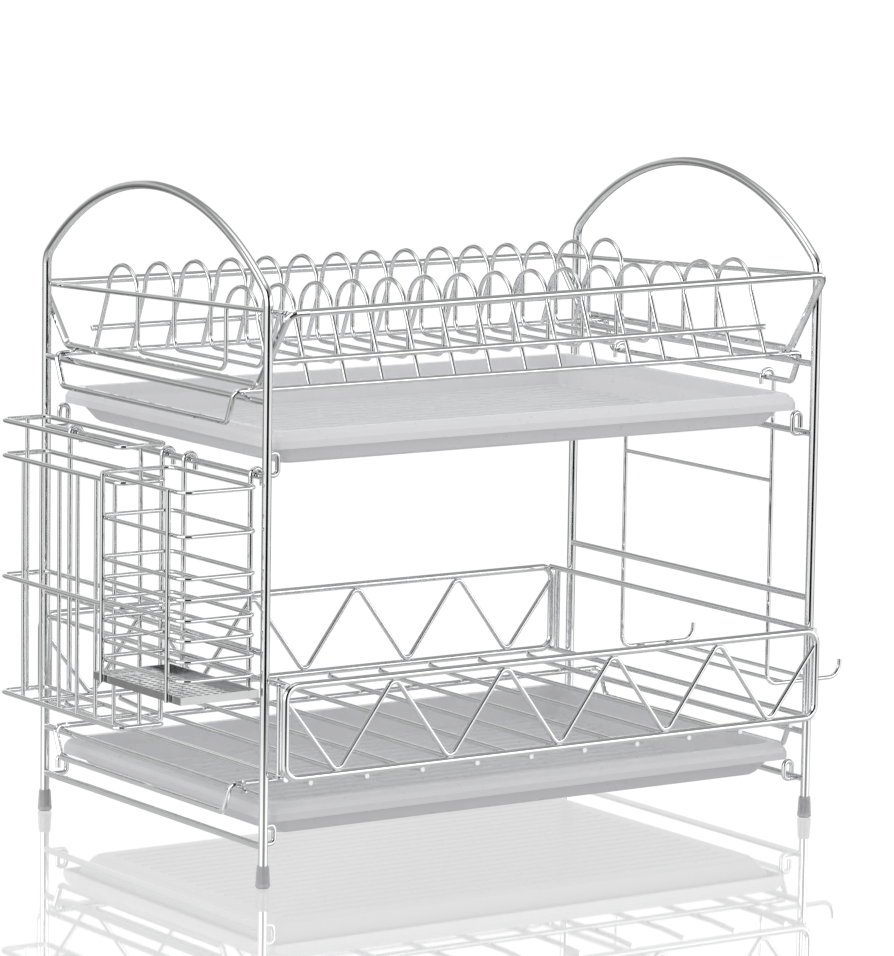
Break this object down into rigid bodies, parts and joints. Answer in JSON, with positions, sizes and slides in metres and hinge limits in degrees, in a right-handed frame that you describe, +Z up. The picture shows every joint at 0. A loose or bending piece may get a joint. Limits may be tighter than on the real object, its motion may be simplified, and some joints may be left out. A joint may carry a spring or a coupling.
{
  "type": "dish drying rack",
  "caption": "Two-tier wire dish drying rack with arched ends, upright plate dividers, a bowl basket, pull-out drip trays and hung cutlery, knife and board holders.",
  "frame": {"origin": "centre of the underside of the front-left foot, as seen from the front", "axes": "+X to the right along the rack, +Y from front to back, +Z up"},
  "size_m": [0.5241, 0.2826, 0.3955],
  "materials": {
    "frame_wire": "bright plated steel wire",
    "basket_wire": "bright plated steel wire",
    "holder_wire": "bright plated steel wire",
    "perforated_sheet": "perforated steel sheet, plated",
    "foot_rubber": "soft translucent grey caps",
    "tray_plastic": "white moulded plastic, slightly glossy"
  },
  "bodies": {
    "frame": {"left_hoop": "frame_wire", "right_hoop": "frame_wire", "left_rail_low": "frame_wire", "left_rail_basket": "frame_wire", "left_rail_mid": "frame_wire", "left_rail_tray": "frame_wire", "left_rail_upper": "frame_wire", "right_rail_low": "frame_wire", "right_rail_basket": "frame_wire", "right_rail_mid": "frame_wire", "right_rail_tray": "frame_wire", "right_rail_upper": "frame_wire", "left_ears_low": "frame_wire", "left_ears_tray": "frame_wire", "right_ears_low": "frame_wire", "right_ears_tray": "frame_wire", "foot_front_left": "foot_rubber", "foot_front_right": "foot_rubber", "foot_back_left": "foot_rubber", "foot_back_right": "foot_rubber"},
    "upper_basket": {"upper_rim_front": "basket_wire", "upper_rim_back": "basket_wire", "upper_rim_left": "basket_wire", "upper_rim_right": "basket_wire", "upper_end_bar_left": "basket_wire", "upper_end_bar_right": "basket_wire", "upper_hanger_front": "basket_wire", "upper_hanger_back": "basket_wire", "upper_hanger_left": "basket_wire", "upper_hanger_right": "basket_wire", "upper_brace_front": "basket_wire", "upper_brace_back": "basket_wire", "plate_dividers": "basket_wire"},
    "lower_basket": {"lower_front_panel": "basket_wire", "lower_back_panel": "basket_wire", "lower_front_zigzag": "basket_wire", "lower_back_zigzag": "basket_wire", "lower_end_left": "basket_wire", "lower_end_right": "basket_wire", "lower_hanger_front": "basket_wire", "lower_hanger_back": "basket_wire", "lower_hanger_left": "basket_wire", "lower_hanger_right": "basket_wire", "bowl_floor_wires": "basket_wire"},
    "upper_tray": {"upper_tray": "tray_plastic"},
    "lower_tray": {"lower_tray": "tray_plastic"},
    "cutlery_basket": {"cutlery_loops": "holder_wire", "cutlery_uprights": "holder_wire", "cutlery_hooks": "holder_wire", "cutlery_floor": "perforated_sheet"},
    "knife_rack": {"knife_loops": "holder_wire", "knife_uprights": "holder_wire", "knife_hooks": "holder_wire", "knife_floor": "holder_wire"},
    "board_holder": {"board_hook_front": "holder_wire", "board_hook_back": "holder_wire", "board_cross_wires": "holder_wire"}
  },
  "joints": [
    {"name": "upper_basket_lift", "type": "slide", "parent": "frame", "child": "upper_basket", "axis": [0, 0, 1], "range_m": [0, 0.06]},
    {"name": "lower_basket_lift", "type": "slide", "parent": "frame", "child": "lower_basket", "axis": [0, 0, 1], "range_m": [0, 0.018]},
    {"name": "upper_tray_slide", "type": "slide", "parent": "frame", "child": "upper_tray", "axis": [0, -1, 0], "range_m": [0, 0.2]},
    {"name": "lower_tray_slide", "type": "slide", "parent": "frame", "child": "lower_tray", "axis": [0, -1, 0], "range_m": [0, 0.2]},
    {"name": "cutlery_lift", "type": "slide", "parent": "frame", "child": "cutlery_basket", "axis": [0, 0, 1], "range_m": [0, 0.014]},
    {"name": "knife_rack_lift", "type": "slide", "parent": "frame", "child": "knife_rack", "axis": [0, 0, 1], "range_m": [0, 0.014]},
    {"name": "board_holder_lift", "type": "slide", "parent": "upper_basket", "child": "board_holder", "axis": [0, 0, 1], "range_m": [0, 0.025]}
  ]
}
